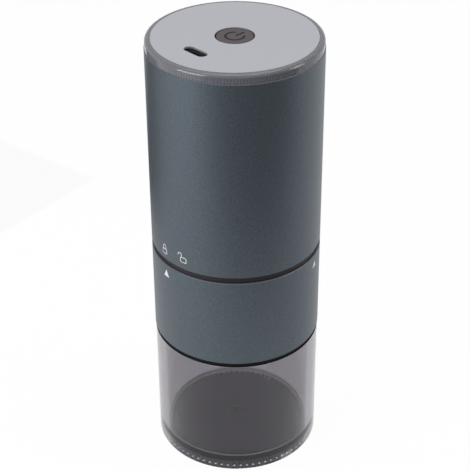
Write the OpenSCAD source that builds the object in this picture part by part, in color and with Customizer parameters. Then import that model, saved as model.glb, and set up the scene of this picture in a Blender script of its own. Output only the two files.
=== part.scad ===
// Cordless electric spice grinder.
// From the table up: a clear powder cup, a mill section with a conical burr set under a
// spice hopper, and a motor section that locks onto the mill with a three-lug bayonet.
// +Z is up, the origin is the centre of the foot pad's underside, and the front is -Y.
// Azimuths are measured from the front towards +X.

/* [Casing] */
// Outside diameter of the two metal sleeves
casing_d = 70; // [68.5:0.5:78]
// Wall thickness of the metal sleeves
sleeve_wall = 1.1; // [0.8:0.1:1.4]
// Bevel on the sleeves' outer edges
sleeve_bevel = 0.3; // [0.1:0.1:0.6]
// Height of the mill section's sleeve
mill_sleeve_h = 40; // [39:1:52]
// Height of the dark band between the two sleeves
band_h = 2.5; // [1.5:0.1:4]
// How far the dark bands lie inside the sleeves' outer face
band_inset = 0.7; // [0.3:0.1:1]

/* [Powder cup] */
// Height of the powder cup
cup_h = 56; // [50:1:80]
// How far the cup's wall lies inside the sleeves' outer face
cup_inset = 0.2; // [0:0.1:0.6]
// Wall thickness of the powder cup
cup_wall = 3.8; // [3.2:0.1:4.6]
// Thickness of the powder cup's floor
cup_floor_t = 2.2; // [1.6:0.1:3.5]
// Radius of the corner between the cup's floor and wall
cup_fillet = 1.5; // [1:0.5:6]
// Thickness of the dark flange that rests on the cup's rim
cup_flange_t = 1.7; // [1.2:0.1:3]
// Height of the cup's neck, which enters the mill
neck_h = 6; // [4.5:0.5:8]
// Wire diameter of the seal ring in the neck's groove
seal_wire_d = 1; // [0.8:0.1:1.3]

/* [Foot pad] */
// Thickness of the foot pad
pad_t = 3.4; // [2:0.1:4.5]
// How far the foot pad stands out below the cup
pad_proud = 0.4; // [0.2:0.1:1]
// Number of grip teeth round the foot pad
pad_teeth = 72; // [48:6:90]
// Height of the grip teeth across the pad's edge
pad_tooth_h = 1.4; // [0.8:0.1:2]
// Length of the ribs that run in from the teeth on the pad's upper face
pad_rib_l = 5; // [3:0.5:8]
// Height of those ribs
pad_rib_h = 0.8; // [0.4:0.1:1.2]

/* [Burr set] */
// Outside diameter of the ring burr
ring_burr_d = 39; // [38:0.5:42]
// Height of the ring burr
ring_burr_h = 14; // [13:0.5:16]
// Radius of the fine grinding edge at the bottom of the ring burr
grind_r = 15.8; // [15.2:0.1:16.2]
// Height of the fine grinding zone
fine_h = 5; // [4:0.5:6]
// Narrowing of the fine zone over its height
fine_taper = 1; // [0.6:0.1:1.4]
// Gap between the burrs at the finest setting
burr_gap = 0.35; // [0.3:0.05:0.6]
// Radius of the cone burr's upper end
cone_top_r = 7; // [6.5:0.1:8.5]
// Number of fine teeth on each burr
fine_teeth = 40; // [30:2:48]
// Number of spiral crushing ridges on the cone burr
ridge_n = 7; // [5:1:9]
// Number of feed ridges in the ring burr
ring_ridge_n = 9; // [7:1:12]
// Turn of the spiral ridges over their height, degrees
ridge_twist = 50; // [30:5:70]

/* [Drive] */
// Diameter of the mill's drive shaft
shaft_d = 6; // [5.6:0.1:6.4]
// Thread diameter under the grind dial
dial_thread_d = 5; // [4.5:0.1:5.3]
// Diameter of the grind dial
dial_d = 28; // [24:1:34]
// Height of the grind dial's grip
dial_h = 6; // [5:0.5:7]
// Number of grip notches round the grind dial
dial_notches = 24; // [18:2:30]
// Outside diameter of the jaw coupling
jaw_d = 17; // [15:0.5:19]
// Width of each jaw, degrees
jaw_angle = 30; // [24:1:40]

/* [Bayonet] */
// Azimuth of the first lug and its pointer
lug_azimuth = -54; // [-70:1:-40]
// Turn from locked to unlocked, degrees
lock_turn = 16.5; // [14:0.5:22]
// Width of each lug, degrees
lug_angle = 14; // [10:1:18]
// Height of each lug
lug_h = 2.4; // [1.8:0.1:3]
// How far each lug stands out of the neck
lug_out = 1.8; // [1.2:0.1:2]

/* [Gearbox] */
// Gear module
gear_m = 0.5; // [0.46:0.01:0.52]
// Face width of the gears
gear_w = 4.5; // [4:0.5:7]
// Thickness of the planet carriers
carrier_t = 1.8; // [1.4:0.1:2.6]
// Diameter of the planet pins
planet_pin_d = 2; // [1.6:0.1:2.4]
// Wall of the gearbox outside the ring gear
gearbox_wall = 2.9; // [2.5:0.1:3.5]

/* [Motor and cells] */
// Diameter of the motor
motor_d = 24.4; // [22:0.1:25]
// Length of the motor's can
motor_l = 31; // [28:0.5:33]
// Diameter of the motor's own shaft
motor_shaft_d = 2; // [1.6:0.1:2.4]
// Height of the motor section's sleeve
motor_sleeve_h = 85; // [77:1:100]
// Diameter of one battery cell
cell_d = 18.3; // [16:0.1:18.6]
// Length of one battery cell
cell_l = 35; // [32:0.5:36]

/* [Top] */
// Height of the clear light ring above the motor sleeve
light_ring_h = 3.6; // [3:0.1:6]
// Width of the light ring's visible top
light_ring_w = 2.3; // [1.8:0.1:3.5]
// Radius of the light ring's top edge
light_ring_edge_r = 1.3; // [0.6:0.1:1.6]
// Number of flutes on the light ring's hidden inner side
ring_flutes = 180; // [90:6:240]
// Thickness of the top plate
top_plate_t = 0.8; // [0.6:0.1:2]
// Diameter of the power button
button_d = 14.7; // [12:0.1:18]
// Travel of the power button
button_travel = 0.8; // [0.5:0.1:1]
// Length of the charging slot
slot_l = 11.2; // [10:0.1:12]
// Width of the charging slot
slot_w = 4.4; // [4:0.1:5]
// Distance of the charging slot from the centre
slot_r = 20.4; // [19:0.1:22]
// Azimuth of the charging slot
slot_azimuth = -46; // [-70:1:-20]
// Thickness of the circuit board
board_t = 1.6; // [1:0.1:2]

/* [Hidden] */
$fn = 96;
// Clearances: fixed pieces, moving pieces, shafts in their bushes
fit_gap = 0.1;
run_gap = 0.3;
shaft_gap = 0.05;
// Overshoot of a cut beyond the face that it breaks through
over = 1;
// Depth to which two shapes of one piece reach into each other
lap = 0.5;

// Radii of the casing
casing_r = casing_d / 2;
sleeve_in_r = casing_r - sleeve_wall;
inner_r = sleeve_in_r - fit_gap;
band_r = casing_r - band_inset;
cup_r = casing_r - cup_inset;
cup_in_r = cup_r - cup_wall;
pad_r = cup_in_r;

// Heights of the casing, from the table up
z_cup = pad_proud;
z_cup_floor = pad_t;
z_cup_inside = z_cup_floor + cup_floor_t;
z_cup_rim = z_cup + cup_h;
z_mill = z_cup_rim + cup_flange_t;
z_mill_top = z_mill + mill_sleeve_h;
z_motor = z_mill_top + band_h;
z_motor_top = z_motor + motor_sleeve_h;
z_ring_top = z_motor_top + light_ring_h;
plate_proud = 0.1;
z_plate = z_ring_top - top_plate_t + plate_proud;
z_plate_top = z_plate + top_plate_t;

// Mill frame, collar and hopper
frame_wall = 2;
frame_in_r = inner_r - frame_wall;
socket_wall = 0.9;
socket_r = inner_r - socket_wall;
seal_gap = 0.15;
neck_r = socket_r - run_gap;
z_neck_top = z_cup_rim + neck_h;
z_socket_roof = z_neck_top + run_gap;
seal_share = 0.6;
z_seal = z_cup_rim + neck_h * seal_share;
seal_r = socket_r - seal_gap - seal_wire_d / 2;
cup_foot_round = 0.5;
gate_r = 2.6;
gate_depth = 0.5;
pad_tooth_share = 0.45;
pad_groove_from = 3;
pad_groove_w = 2;
pad_hollow_from = 9;
pad_groove_depth = 0.6;
web_t = 3;
frame_rib_t = 2.4;
frame_rib_h = 4.5;
seat_drop = 3;
seat_wall = 2.2;
seat_ledge = 1.6;
ledge_t = 2;
ring_burr_up = 8;
z_ring_burr = z_mill + ring_burr_up;
z_ring_burr_top = z_ring_burr + ring_burr_h;
web_up = 1;
z_web = z_ring_burr + web_up;
ring_burr_r = ring_burr_d / 2;
ring_key_n = 3;
ring_key_w = 3;
ring_key_h = 4;
ring_key_in = 1.2;
spigot_l = 4;
collar_neck_in = 2;
collar_neck_r = frame_in_r - collar_neck_in;
collar_neck_wall = 2;
collar_neck_h = 6;
z_collar_neck_top = z_motor + collar_neck_h;
lug_n = 3;
lug_gap_z = run_gap;
lug_up = 3.3;
z_lug = z_motor + lug_up;
gasket_t = 0.7;
gasket_edge = 0.5;
gasket_w = 1.2;
collar_screw_depth = 3.4;
collar_screw_head_t = 1;
collar_screw_sink = 0.2;
bridge_t = 2;
z_bridge = z_mill_top - spigot_l - bridge_t;
funnel_wall = 1.6;
funnel_foot = 1.6;
funnel_lip_h = 2;
funnel_top_h = 3;
bridge_rim_w = 2.4;
bridge_arm_t = 4.4;
bridge_arm_rise = 1.5;
throat_r = ring_burr_r - funnel_foot;
screw_head_r = 2;
screw_head_t = 1.1;
screw_shank_r = 1.25;
screw_l = 7;
thin_screw_l = 8;
shaft_screw_head_r = 3.2;
shaft_screw_head_t = 1.8;
countersink = 1.2;
hex_share = 0.45;

// Drive shaft line
shaft_r = shaft_d / 2;
flat_over_thread = 0.15;
flat_half = dial_thread_d / 2 + flat_over_thread;
hub_r = 8;
bush_r = 5;
bush_flange_r = 6.4;
bush_flange_t = 1.2;
hub_up = 6.5;
z_hub = z_ring_burr_top + hub_up;
z_hub_top = z_bridge + bridge_t;
z_bush_top = z_hub_top + bush_flange_t;
thread_chamfer = 0.3;
shaft_collar_t = 2;
shaft_collar_r = 5;
thrust_washer_t = 0.5;
spring_wire_d = 0.8;
spring_r = 4.6;
spring_turns = 4;
cone_below = 2;
z_cone_burr = z_ring_burr - cone_below;
z_cone_burr_top = z_ring_burr_top;
burr_drop = 1.4;
dial_boss_r = 6;
dial_boss_h = 1.5;
z_dial = z_cone_burr - dial_boss_h - dial_h;
shaft_end_below = 1.5;
z_shaft_end = z_dial - shaft_end_below;
dial_insert_wall = 1.5;
dial_insert_r = dial_thread_d / 2 + dial_insert_wall;
dial_notch_r = 1;
dial_notch_out = 0.3;
dial_groove_wall = 3;
dial_groove_depth = 2;
dial_hub_wall = 1.6;
spring_end_gap = 0.1;

// Jaw coupling
jaw_r = jaw_d / 2;
jaw_n = 3;
jaw_in_r = 4.2;
jaw_tip_gap = 0.5;
jaw_h = 4;
jaw_hub_t = 3.5;
high_hub_t = 3;
jaw_rim = 0.4;
low_jaw_sink = 0.6;
z_low_jaw = z_motor - low_jaw_sink;
z_low_jaw_top = z_low_jaw + jaw_hub_t + jaw_h;

// Motor section's base
base_floor_t = 2.5;
base_floor_up = 2;
z_base_floor = z_low_jaw_top + base_floor_up;
z_gearbox = z_base_floor + base_floor_t;
z_high_jaw_hub = z_low_jaw_top + jaw_tip_gap;
base_hole_gap = 1.1;
base_hole_r = jaw_r + jaw_rim + base_hole_gap;
bayonet_r = collar_neck_r + run_gap;
channel_r = collar_neck_r + lug_out + run_gap;
channel_gap = 0.6;
entry_spare = 1.4;
entry_deeper = 0.1;
stop_gap = 0.6;

// Planetary gearbox, two equal stages of 12, 18 and 48 teeth
sun_teeth = 12;
planet_teeth = 18;
ring_teeth = sun_teeth + 2 * planet_teeth;
planet_n = 3;
pressure_angle = 20;
tooth_backlash = 0.08;
tooth_top = 0.8;
tooth_root = 1.05;
orbit_r = gear_m * (sun_teeth + planet_teeth) / 2;
gearbox_r = gear_m * (ring_teeth / 2 + tooth_root) + gearbox_wall;
gearbox_lid_t = 1.7;
gear_gap = 0.3;
pin_sink = 0.6;
sun_core_r = 0.5;
carrier_edge = 1.2;
carrier_r = orbit_r + planet_pin_d / 2 + carrier_edge;
z_out_carrier = z_gearbox + gearbox_lid_t + gear_gap;
z_out_gears = z_out_carrier + carrier_t + gear_gap;
z_mid_carrier = z_out_gears + gear_w + 2 * gear_gap;
z_mid_gears = z_mid_carrier + carrier_t + gear_gap;
z_gearbox_roof = z_mid_gears + gear_w + gear_gap;
gearbox_roof_t = 1.7;
z_motor_can = z_gearbox_roof + gearbox_roof_t;
out_shaft_r = 3;
gearbox_screw_n = 4;
gearbox_screw_azimuth = 45;
gearbox_screw_r = 1;
motor_screw_at_r = 8;
motor_screw_head_r = 1.9;
motor_screw_head_t = 0.9;

// Motor, cells and chassis
motor_r = motor_d / 2;
motor_boss_r = 3.5;
motor_boss_h = gearbox_roof_t;
motor_cap_t = 2.5;
motor_cap_step = 1;
motor_bearing_r = 3;
motor_bearing_h = 1;
motor_vent = [6, 1.4, 8];
motor_vent_up = 11;
terminal_out = 7.5;
terminal_up = 2;
terminal_l = 3.5;
terminal = [2.4, 0.5];
motor_screw_bite = 2.5;
motor_screw_hex_r = 0.6;
motor_screw_hex_depth = 0.7;
z_motor_cap = z_motor_can + motor_l;
cell_r = cell_d / 2;
cell_gap = 0.7;
cell_x = motor_r + cell_gap + cell_r;
chassis_plate_t = 2;
chassis_gap = 0.5;
chassis_r = inner_r - chassis_gap;
z_cells = z_motor_can + chassis_plate_t;
z_cells_top = z_cells + cell_l;
cradle_wall = 1.2;
cradle_h = 12;
cell_groove_w = 1.4;
cell_button_r = 3.6;
cell_groove_depth = 0.5;
cradle_span = 200;
post_r = 3;
post_edge = 1.6;
post_at_r = inner_r - post_r - post_edge;
post_n = 4;
post_azimuth = 45;
clip_t = 2;
strip_t = 0.4;
link_in = 1;
link_w = 3;
link_end_turn = 1;
tab_l = 6;
tab_w = 4;
tab_cut_l = 16.7;
clip_boss_wall = 1.2;
clip_edge_gap = 1.2;
clip_hole_edge = 4;
wire_slot_l = 14;
wire_slot_w = 6;
wire_slot_in = 5;

// Controls and top; the strips have the space between the cells' clip and the board
button_r = button_d / 2;
button_flange_w = 1.3;
button_flange_t = 1.3;
button_gap = 0.45;
button_sink = 0.2;
button_edge_r = 0.4;
z_button_top = z_plate_top - button_sink;
z_button_flange = z_motor_top - run_gap - button_flange_t;
switch_w = 6;
switch_h = 3.5;
stem_r = 1.6;
stem_out = 1;
stem_foot_h = 0.4;
stem_foot_wall = 0.8;
switch_floor = 1;
stem_spare = 0.2;
z_stem_top = z_button_flange - stem_foot_h;
z_board_top = z_stem_top - stem_out - switch_h;
z_board = z_board_top - board_t;
tab_foot_l = max(tab_l, tab_cut_l - (z_board - z_cells_top));
light_ring_inset = 0.25;
light_ring_r = casing_r - light_ring_inset;
plate_r = light_ring_r - light_ring_w;
shelf_w = 1.4;
shelf_r = plate_r - shelf_w;
flute_depth = 0.5;
flute_share = 0.5;
ring_spigot_l = 4.5;
ring_spigot_wall = 1.2;
top_frame_r = shelf_r - fit_gap;
board_edge_gap = 0.8;
board_r = inner_r - ring_spigot_wall - board_edge_gap;
guide_wall = 1.4;
port_l = 8.9;
port_w = 3.3;
port_wall = 0.3;
port_sink = 1.6;
port_depth = 5;
tongue_h = 4.4;
guide_under = 0.6;
frame_leg_r = 2.4;
frame_leg_in = 3.4;
frame_leg_n = 4;
led_in = 1.6;
tongue_l = 6.7;
tongue_t = 0.7;
led_n = 8;
led_size = [1.6, 0.9, 0.7];
board_screw_head_r = 2.2;
board_screw_head_t = 1.4;

// ---------- shapes that repeat ----------

module tube(r_out, r_in, z0, z1) {
    translate([0, 0, z0]) difference() {
        cylinder(r = r_out, h = z1 - z0);
        translate([0, 0, -over]) cylinder(r = r_in, h = z1 - z0 + 2 * over);
    }
}

module rod(r, z0, z1) {
    translate([0, 0, z0]) cylinder(r = r, h = z1 - z0);
}

// Turned so that what points along +X faces the azimuth
module face_azimuth(a) {
    rotate([0, 0, a - 90]) children();
}

// Part of a ring between two azimuths
module ring_part(r_in, r_out, z0, z1, a0, a1) {
    face_azimuth(a0) rotate_extrude(angle = a1 - a0) translate([r_in, z0])
        square([r_out - r_in, z1 - z0]);
}

module around(n, start = 0) {
    for (i = [0:n - 1]) face_azimuth(start + i * 360 / n) children();
}

// Outline with round ends, along X
module stadium(l, w) {
    union() {
        square([l - w, w], center = true);
        for (s = [-1, 1]) translate([s * (l - w) / 2, 0]) circle(d = w);
    }
}

// Sleeve with bevelled outer edges
module sleeve(z0, h) {
    b = sleeve_bevel;
    rotate_extrude() polygon([[sleeve_in_r, z0], [casing_r - b, z0], [casing_r, z0 + b],
        [casing_r, z0 + h - b], [casing_r - b, z0 + h], [sleeve_in_r, z0 + h]]);
}

// Pan-head screw pointing down, with its head's underside at the origin
module pan_screw(head_r, head_t, shank_r, l) {
    union() {
        difference() {
            cylinder(r = head_r, h = head_t);
            translate([0, 0, head_t / 2]) cylinder(r = head_r * hex_share, h = head_t, $fn = 6);
        }
        translate([0, 0, -l]) cylinder(r = shank_r, h = l + head_t / 4);
    }
}

// Tooth row: n teeth whose tips lie at r_tip and whose roots lie at r_root
function tooth_row(n, r_tip, r_root, tip_share = 0.3) = [
    for (i = [0:n - 1], s = [0:3])
        let (a = 360 / n * (i + [-0.5, -tip_share / 2, tip_share / 2, 0.5 - 0.001][s]),
            r = (s == 0 || s == 3) ? r_root : r_tip)
        r * [cos(a), sin(a)]];

// ---------- powder cup ----------

// Clear moulding: body, step for the mill's flange, and a thin neck with the seal's groove
module powder_cup() {
    e = cup_foot_round;
    color([0.32, 0.31, 0.33, 0.45]) difference() {
        rotate_extrude() difference() {
            union() {
                translate([0, z_cup + e]) square([cup_r, cup_h - e]);
                translate([0, z_cup]) square([cup_r - e, cup_h]);
                translate([cup_r - e, z_cup + e]) circle(r = e);
                translate([0, z_cup_rim - over]) square([neck_r, neck_h + over]);
            }
            translate([seal_r - seal_wire_d / 2 - fit_gap, z_seal - seal_wire_d / 2 - fit_gap])
                square(seal_wire_d + 2 * fit_gap);
            translate([0, z_cup_inside + cup_fillet]) square([cup_in_r, cup_h + neck_h]);
            translate([0, z_cup_inside]) square([cup_in_r - cup_fillet, cup_h]);
            translate([cup_in_r - cup_fillet, z_cup_inside + cup_fillet]) circle(r = cup_fillet);
        }
        rod(pad_r, z_cup - over, z_cup_floor);
        rod(gate_r, z_cup_inside - gate_depth, z_cup_inside + over);
    }
}

// Soft disc with a toothed edge and a layer of longer ribs on its upper face
module foot_pad() {
    tip_r = pad_r - fit_gap;
    color([0.2, 0.2, 0.21]) difference() {
        union() {
            linear_extrude(height = pad_t - pad_rib_h)
                polygon(tooth_row(pad_teeth, tip_r, tip_r - pad_tooth_h, pad_tooth_share));
            translate([0, 0, pad_t - pad_rib_h - over]) linear_extrude(height = pad_rib_h + over)
                polygon(tooth_row(pad_teeth, tip_r, tip_r - pad_rib_l, pad_tooth_share));
        }
        tube(tip_r - pad_groove_from, tip_r - pad_groove_from - pad_groove_w, -over, pad_groove_depth);
        rod(tip_r - pad_hollow_from, -over, pad_groove_depth);
    }
}

// ---------- mill section ----------

module mill_sleeve() {
    color([0.3, 0.34, 0.38]) sleeve(z_mill, mill_sleeve_h);
}

// Tube, web and burr seat in one moulding, with a socket for the cup's neck and a dark flange
module mill_frame() {
    seat_r = ring_burr_r + fit_gap;
    color([0.16, 0.14, 0.14]) difference() {
        union() {
            tube(inner_r, frame_in_r, z_mill - lap, z_mill_top);
            tube(band_r, frame_in_r, z_cup_rim, z_mill);
            tube(frame_in_r + lap, seat_r + seat_wall - lap, z_web, z_web + web_t);
            tube(seat_r + seat_wall, seat_r, z_ring_burr - ledge_t, z_ring_burr_top - seat_drop);
            tube(seat_r + lap, seat_r - seat_ledge, z_ring_burr - ledge_t, z_ring_burr);
            around(lug_n, lug_azimuth) translate([seat_r + seat_wall - lap, -frame_rib_t / 2,
                z_web + web_t - lap]) cube([frame_in_r - seat_r - seat_wall + 2 * lap, frame_rib_t,
                frame_rib_h + lap]);
            around(ring_key_n) translate([ring_burr_r - ring_key_in + fit_gap, -ring_key_w / 2 + fit_gap,
                z_ring_burr]) cube([ring_key_in + lap, ring_key_w - 2 * fit_gap, ring_key_h]);
        }
        tube(socket_r, frame_in_r - over, z_cup_rim - over, z_socket_roof);
        collar_screw_holes(screw_head_r + fit_gap, screw_shank_r + fit_gap);
    }
}

module cup_seal() {
    color([0.1, 0.1, 0.1]) rotate_extrude() translate([seal_r, z_seal])
        circle(d = seal_wire_d, $fn = 32);
}

function lug_places() = [for (i = [0:lug_n - 1]) lug_azimuth + 360 / lug_n * i];

// Spigot, visible band and bayonet neck
module mill_collar() {
    spigot_r = frame_in_r - fit_gap;
    color([0.16, 0.14, 0.14]) difference() {
        union() {
            tube(spigot_r, collar_neck_r - collar_neck_wall, z_mill_top - spigot_l, z_mill_top + lap);
            tube(band_r, collar_neck_r - collar_neck_wall, z_mill_top, z_motor - run_gap);
            tube(collar_neck_r, collar_neck_r - collar_neck_wall, z_mill_top, z_collar_neck_top);
            for (lug = lug_places()) ring_part(collar_neck_r - lap, collar_neck_r + lug_out, z_lug,
                z_lug + lug_h, lug - lug_angle / 2, lug + lug_angle / 2);
        }
        collar_screw_holes(screw_shank_r, screw_shank_r);
    }
}

module collar_screw_place() {
    around(lug_n, lug_azimuth + 180 / lug_n)
        translate([inner_r - collar_screw_head_t - collar_screw_sink, 0, z_mill_top - spigot_l / 2])
        rotate([0, 90, 0]) children();
}

module collar_screw_holes(head_r, shank_r) {
    collar_screw_place() {
        cylinder(r = head_r, h = casing_d);
        translate([0, 0, -collar_screw_depth]) cylinder(r = shank_r, h = collar_screw_depth + over);
    }
}

// Radial screws that hold the collar in the frame, under the sleeve
module collar_screws() {
    color([0.6, 0.6, 0.62]) collar_screw_place() difference() {
        union() {
            cylinder(r = screw_head_r, h = collar_screw_head_t);
            translate([0, 0, collar_screw_sink - collar_screw_depth])
                cylinder(r = screw_shank_r, h = collar_screw_depth);
        }
        translate([0, 0, collar_screw_head_t / 2])
            cylinder(r = screw_head_r * hex_share, h = over, $fn = 6);
    }
}

// Liner that leads the spice to the burrs and clamps the ring burr
module hopper_funnel() {
    r = frame_in_r - fit_gap;
    z_cone = z_bridge - funnel_top_h;
    z_lip = z_ring_burr_top + funnel_lip_h;
    color([0.2, 0.19, 0.19]) rotate_extrude() polygon([[r, z_bridge], [r, z_cone],
        [ring_burr_r, z_lip], [ring_burr_r, z_ring_burr_top], [throat_r, z_ring_burr_top],
        [throat_r, z_lip], [r - funnel_wall, z_cone + funnel_wall / 2], [r - funnel_wall, z_bridge]]);
}

// Three-arm bridge across the hopper that carries the drive shaft's bush
module bearing_bridge() {
    r = frame_in_r - fit_gap;
    rim_r = r - bridge_rim_w;
    color([0.62, 0.63, 0.65]) difference() {
        union() {
            tube(r, rim_r, z_bridge, z_hub_top);
            rod(hub_r, z_hub, z_hub_top);
            around(lug_n, lug_azimuth + 180 / lug_n) rotate([90, 0, 0])
                linear_extrude(height = bridge_arm_t, center = true)
                polygon([[hub_r - over, z_hub + bridge_arm_rise], [rim_r - bridge_t, z_bridge],
                    [rim_r + lap, z_bridge], [rim_r + lap, z_hub_top], [hub_r - over, z_hub_top]]);
        }
        rod(bush_r, z_hub - over, z_hub_top + over);
    }
}

module bearing_bush() {
    color([0.72, 0.52, 0.3]) difference() {
        union() {
            rod(bush_r, z_hub, z_hub_top);
            rod(bush_flange_r, z_hub_top, z_bush_top);
        }
        rod(shaft_r + shaft_gap, z_hub - over, z_bush_top + over);
    }
}

module neck_gasket() {
    color([0.55, 0.55, 0.56]) tube(collar_neck_r - gasket_edge, collar_neck_r - gasket_edge - gasket_w,
        z_collar_neck_top, z_collar_neck_top + gasket_t);
}

// ---------- burrs ----------

// Tapered, twisted tooth row between two heights; r_root and r_tip are at the bottom
module burr_teeth(n, r_tip, r_root, top_scale, z0, h, twist, slices, share = 0.3) {
    translate([0, 0, z0]) linear_extrude(height = h, twist = twist, scale = top_scale, slices = slices)
        polygon(tooth_row(n, r_tip, r_root, share));
}

fine_tooth_h = 0.7;
ring_fine_slant = 8;
cone_fine_slant = 10;
ring_ridge_h = 1.5;
ring_ridge_slant = 30;
ring_mouth_w = 3;
ring_mouth_r = ring_burr_r - ring_mouth_w;
fine_top_r = grind_r - fine_taper;
burr_lap = 0.3;
ridge_step = 0.1;
ridge_root = 0.74;

// Steel ring with fine teeth below and slanted feed ridges above
module ring_burr() {
    coarse_h = ring_burr_h - fine_h;
    color([0.66, 0.67, 0.69]) difference() {
        rod(ring_burr_r, z_ring_burr, z_ring_burr_top);
        burr_teeth(fine_teeth, grind_r + fine_tooth_h, grind_r, fine_top_r / grind_r, z_ring_burr,
            fine_h, ring_fine_slant, 2, 0.4);
        burr_teeth(ring_ridge_n, fine_top_r + ring_ridge_h, fine_top_r - ridge_step,
            ring_mouth_r / (fine_top_r + ring_ridge_h), z_ring_burr + fine_h - burr_lap,
            coarse_h + burr_lap + ridge_step, -ring_ridge_slant, 6, 0.45);
        around(3) translate([ring_burr_r - ring_key_in, -ring_key_w / 2, z_ring_burr - over])
            cube([ring_key_in + over, ring_key_w, ring_key_h + over]);
    }
}

// Hardened cone: fine teeth round its skirt, spiral crushing ridges above, a keyed bore
module cone_burr() {
    skirt_h = z_ring_burr - z_cone_burr + fine_h;
    slope = fine_taper / fine_h;
    skirt_r = grind_r - burr_gap + slope * (z_ring_burr - z_cone_burr);
    waist_r = skirt_r - slope * skirt_h;
    color([0.6, 0.61, 0.63]) difference() {
        union() {
            burr_teeth(fine_teeth, skirt_r, skirt_r - fine_tooth_h, waist_r / skirt_r, z_cone_burr,
                skirt_h, -cone_fine_slant, 3, 0.4);
            burr_teeth(ridge_n, waist_r - ridge_step, waist_r * ridge_root, cone_top_r / waist_r,
                z_cone_burr + skirt_h, z_cone_burr_top - z_cone_burr - skirt_h, ridge_twist, 10, 0.2);
        }
        keyed_bore(shaft_r + shaft_gap, z_cone_burr - over, z_cone_burr_top + over);
    }
}

// Round with two flats, as the shaft and what it drives
module keyed_bore(r, z0, z1) {
    translate([0, 0, z0]) linear_extrude(height = z1 - z0) keyed_outline(r);
}

module keyed_outline(r) {
    half = flat_half + r - shaft_r;
    intersection() {
        circle(r = r);
        square([2 * r + 1, 2 * half], center = true);
    }
}

// ---------- drive line of the mill ----------

module drive_shaft() {
    z_top = z_low_jaw + jaw_hub_t;
    z_key = z_cone_burr + burr_drop;
    z_collar = z_bush_top + fit_gap;
    t = dial_thread_d / 2;
    e = thread_chamfer;
    color([0.75, 0.76, 0.78]) difference() {
        rotate_extrude() polygon([[0, z_shaft_end], [t - e, z_shaft_end], [t, z_shaft_end + e],
            [t, z_key], [shaft_r, z_key], [shaft_r, z_collar], [shaft_collar_r, z_collar],
            [shaft_collar_r, z_collar + shaft_collar_t], [shaft_r, z_collar + shaft_collar_t],
            [shaft_r, z_top], [0, z_top]]);
        shaft_flats(z_key - 0.01, z_hub - thrust_washer_t);
        shaft_flats(z_collar + shaft_collar_t, z_top + over);
        rod(screw_shank_r, z_top - screw_l - over, z_top + over);
    }
}

// Blocks that cut the shaft's two flats between two heights
module shaft_flats(z0, z1) {
    for (s = [0, 180]) rotate([0, 0, s]) translate([-shaft_r - over, flat_half, z0])
        cube([2 * shaft_r + 2 * over, shaft_r, z1 - z0]);
}

module thrust_washer() {
    color([0.8, 0.8, 0.82]) tube(bush_flange_r, shaft_r + shaft_gap, z_hub - thrust_washer_t - fit_gap,
        z_hub - fit_gap);
}

// Coil spring that holds the cone burr down on the dial
module burr_spring() {
    z0 = z_cone_burr_top + spring_wire_d / 2 + spring_end_gap;
    z1 = z_hub - thrust_washer_t - fit_gap - spring_wire_d / 2 - spring_end_gap;
    steps = 14;
    sides = 8;
    rings = steps * spring_turns;
    point_of = function(i, j)
        let (a = 360 * i / steps, b = 360 * j / sides, r = spring_r + spring_wire_d / 2 * cos(b))
        [r * cos(a), r * sin(a), z0 + (z1 - z0) * i / rings + spring_wire_d / 2 * sin(b)];
    points = [for (i = [0:rings], j = [0:sides - 1]) point_of(i, j)];
    walls = [for (i = [0:rings - 1], j = [0:sides - 1])
        let (k = (j + 1) % sides)
        [i * sides + j, (i + 1) * sides + j, (i + 1) * sides + k, i * sides + k]];
    ends = [[for (j = [0:sides - 1]) j], [for (j = [sides - 1:-1:0]) rings * sides + j]];
    color([0.7, 0.7, 0.72]) polyhedron(points, concat(walls, ends));
}

module shaft_screw() {
    z0 = z_low_jaw + jaw_hub_t;
    color([0.6, 0.6, 0.62]) translate([0, 0, z0]) pan_screw(shaft_screw_head_r, shaft_screw_head_t,
        screw_shank_r, screw_l);
}

// Ring of jaws between two heights
module jaw_ring(z0, z1, start) {
    reach = jaw_r + over;
    half = jaw_angle / 2;
    translate([0, 0, z0]) linear_extrude(height = z1 - z0) intersection() {
        difference() {
            circle(r = jaw_r);
            circle(r = jaw_in_r);
        }
        for (i = [0:jaw_n - 1]) rotate(start + 360 / jaw_n * i - 90)
            polygon([[0, 0], reach * [cos(half), -sin(half)], [reach * 1.2, 0],
                reach * [cos(half), sin(half)]]);
    }
}

module lower_jaw() {
    z1 = z_low_jaw + jaw_hub_t;
    color([0.85, 0.85, 0.83]) difference() {
        union() {
            rod(jaw_r + jaw_rim, z_low_jaw, z1);
            jaw_ring(z1 - lap, z1 + jaw_h, lug_azimuth);
        }
        keyed_bore(shaft_r, z_low_jaw - over, z1 + over);
    }
}

// Knurled dial under the burrs, turned by hand with the cup off
module grind_dial() {
    z_top = z_dial + dial_h;
    color([0.17, 0.16, 0.16]) difference() {
        union() {
            rod(dial_d / 2, z_dial, z_top);
            rod(dial_boss_r, z_top - lap, z_cone_burr);
        }
        around(dial_notches) translate([dial_d / 2 + dial_notch_out, 0, z_dial - over])
            cylinder(r = dial_notch_r, h = dial_h + 2 * over, $fn = 24);
        tube(dial_d / 2 - dial_groove_wall, dial_insert_r + dial_hub_wall, z_dial - over,
            z_dial + dial_groove_depth);
        rod(dial_insert_r, z_dial - over, z_cone_burr + over);
    }
}

module dial_insert() {
    color([0.8, 0.66, 0.35]) tube(dial_insert_r, dial_thread_d / 2 + shaft_gap, z_dial, z_cone_burr);
}

// ---------- motor section: casing and base ----------

module motor_sleeve() {
    color([0.3, 0.34, 0.38]) sleeve(z_motor, motor_sleeve_h);
}

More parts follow.
